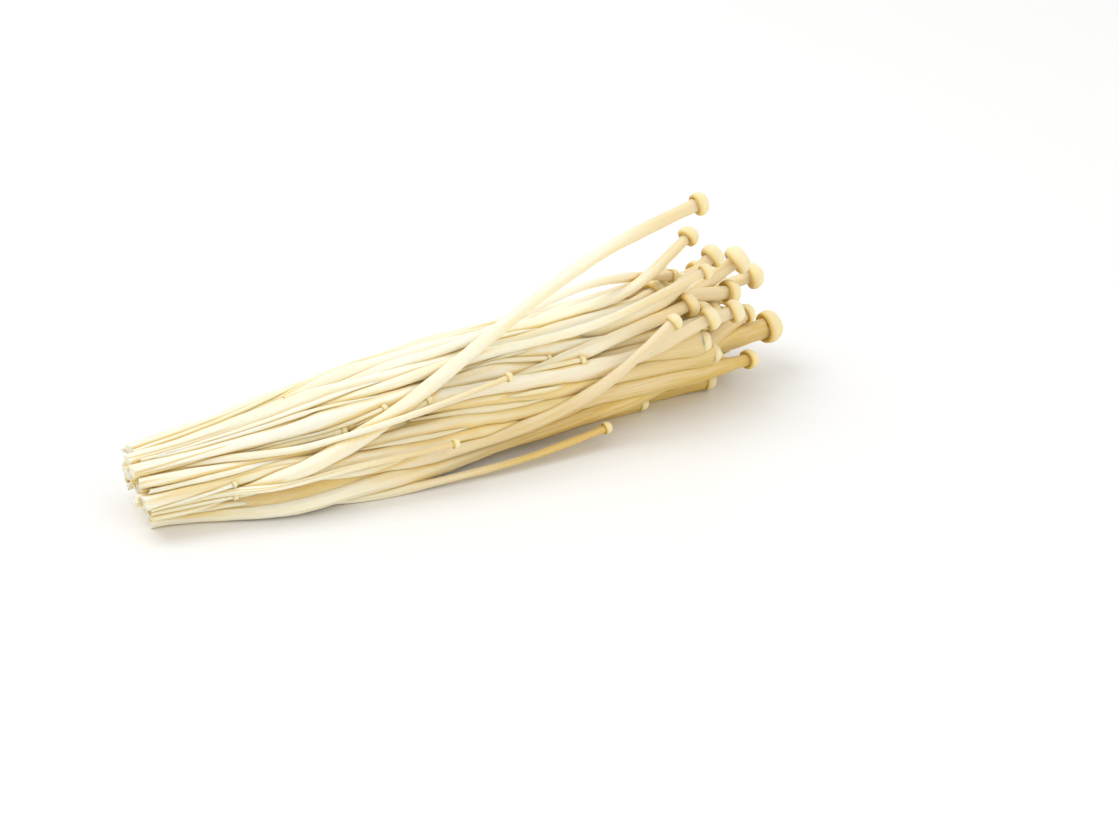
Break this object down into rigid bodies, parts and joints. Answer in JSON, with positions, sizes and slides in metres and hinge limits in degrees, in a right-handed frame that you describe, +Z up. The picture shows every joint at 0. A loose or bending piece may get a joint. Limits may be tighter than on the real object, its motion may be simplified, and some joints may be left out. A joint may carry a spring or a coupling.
{
  "type": "enoki mushroom bunch",
  "caption": "Bunch of slender cream-white enoki mushrooms lying on its side, stems packed together at the cut end and parting towards small round caps.",
  "frame": {"origin": "centre of the bunch's footprint, on the surface that it lies on", "axes": "+X from the cut end to the caps, +Y across the bunch, +Z up"},
  "size_m": [0.1514, 0.0434, 0.0461],
  "materials": {
    "mushroom_flesh": "soft satin, slightly translucent"
  },
  "bodies": {
    "root": {"broad_end_cap": "mushroom_flesh", "far_cap": "mushroom_flesh", "low_side_cap": "mushroom_flesh", "mushroom_01": "mushroom_flesh", "mushroom_02": "mushroom_flesh", "mushroom_03": "mushroom_flesh", "mushroom_04": "mushroom_flesh", "mushroom_05": "mushroom_flesh", "mushroom_06": "mushroom_flesh", "mushroom_07": "mushroom_flesh", "mushroom_08": "mushroom_flesh", "mushroom_09": "mushroom_flesh", "mushroom_10": "mushroom_flesh", "mushroom_11": "mushroom_flesh", "mushroom_12": "mushroom_flesh", "mushroom_13": "mushroom_flesh", "mushroom_14": "mushroom_flesh", "mushroom_15": "mushroom_flesh", "mushroom_16": "mushroom_flesh", "mushroom_17": "mushroom_flesh", "mushroom_18": "mushroom_flesh", "mushroom_19": "mushroom_flesh", "mushroom_20": "mushroom_flesh", "mushroom_21": "mushroom_flesh", "mushroom_22": "mushroom_flesh", "mushroom_23": "mushroom_flesh", "mushroom_24": "mushroom_flesh", "mushroom_25": "mushroom_flesh", "mushroom_26": "mushroom_flesh", "mushroom_27": "mushroom_flesh", "mushroom_28": "mushroom_flesh", "mushroom_29": "mushroom_flesh", "mushroom_30": "mushroom_flesh", "mushroom_31": "mushroom_flesh", "mushroom_32": "mushroom_flesh", "mushroom_33": "mushroom_flesh", "mushroom_34": "mushroom_flesh", "mushroom_35": "mushroom_flesh", "mushroom_36": "mushroom_flesh", "mushroom_37": "mushroom_flesh", "mushroom_38": "mushroom_flesh", "mushroom_39": "mushroom_flesh", "mushroom_40": "mushroom_flesh", "mushroom_41": "mushroom_flesh", "mushroom_42": "mushroom_flesh", "mushroom_43": "mushroom_flesh", "nodding_cap": "mushroom_flesh", "oval_cap": "mushroom_flesh", "round_cap": "mushroom_flesh", "slim_lower": "mushroom_flesh", "slim_middle": "mushroom_flesh", "slim_upper": "mushroom_flesh", "small_side_cap": "mushroom_flesh", "small_upper_cap": "mushroom_flesh", "stray_arched": "mushroom_flesh", "stray_long": "mushroom_flesh", "stray_upright": "mushroom_flesh", "upper_end_cap": "mushroom_flesh"}
  },
  "joints": []
}
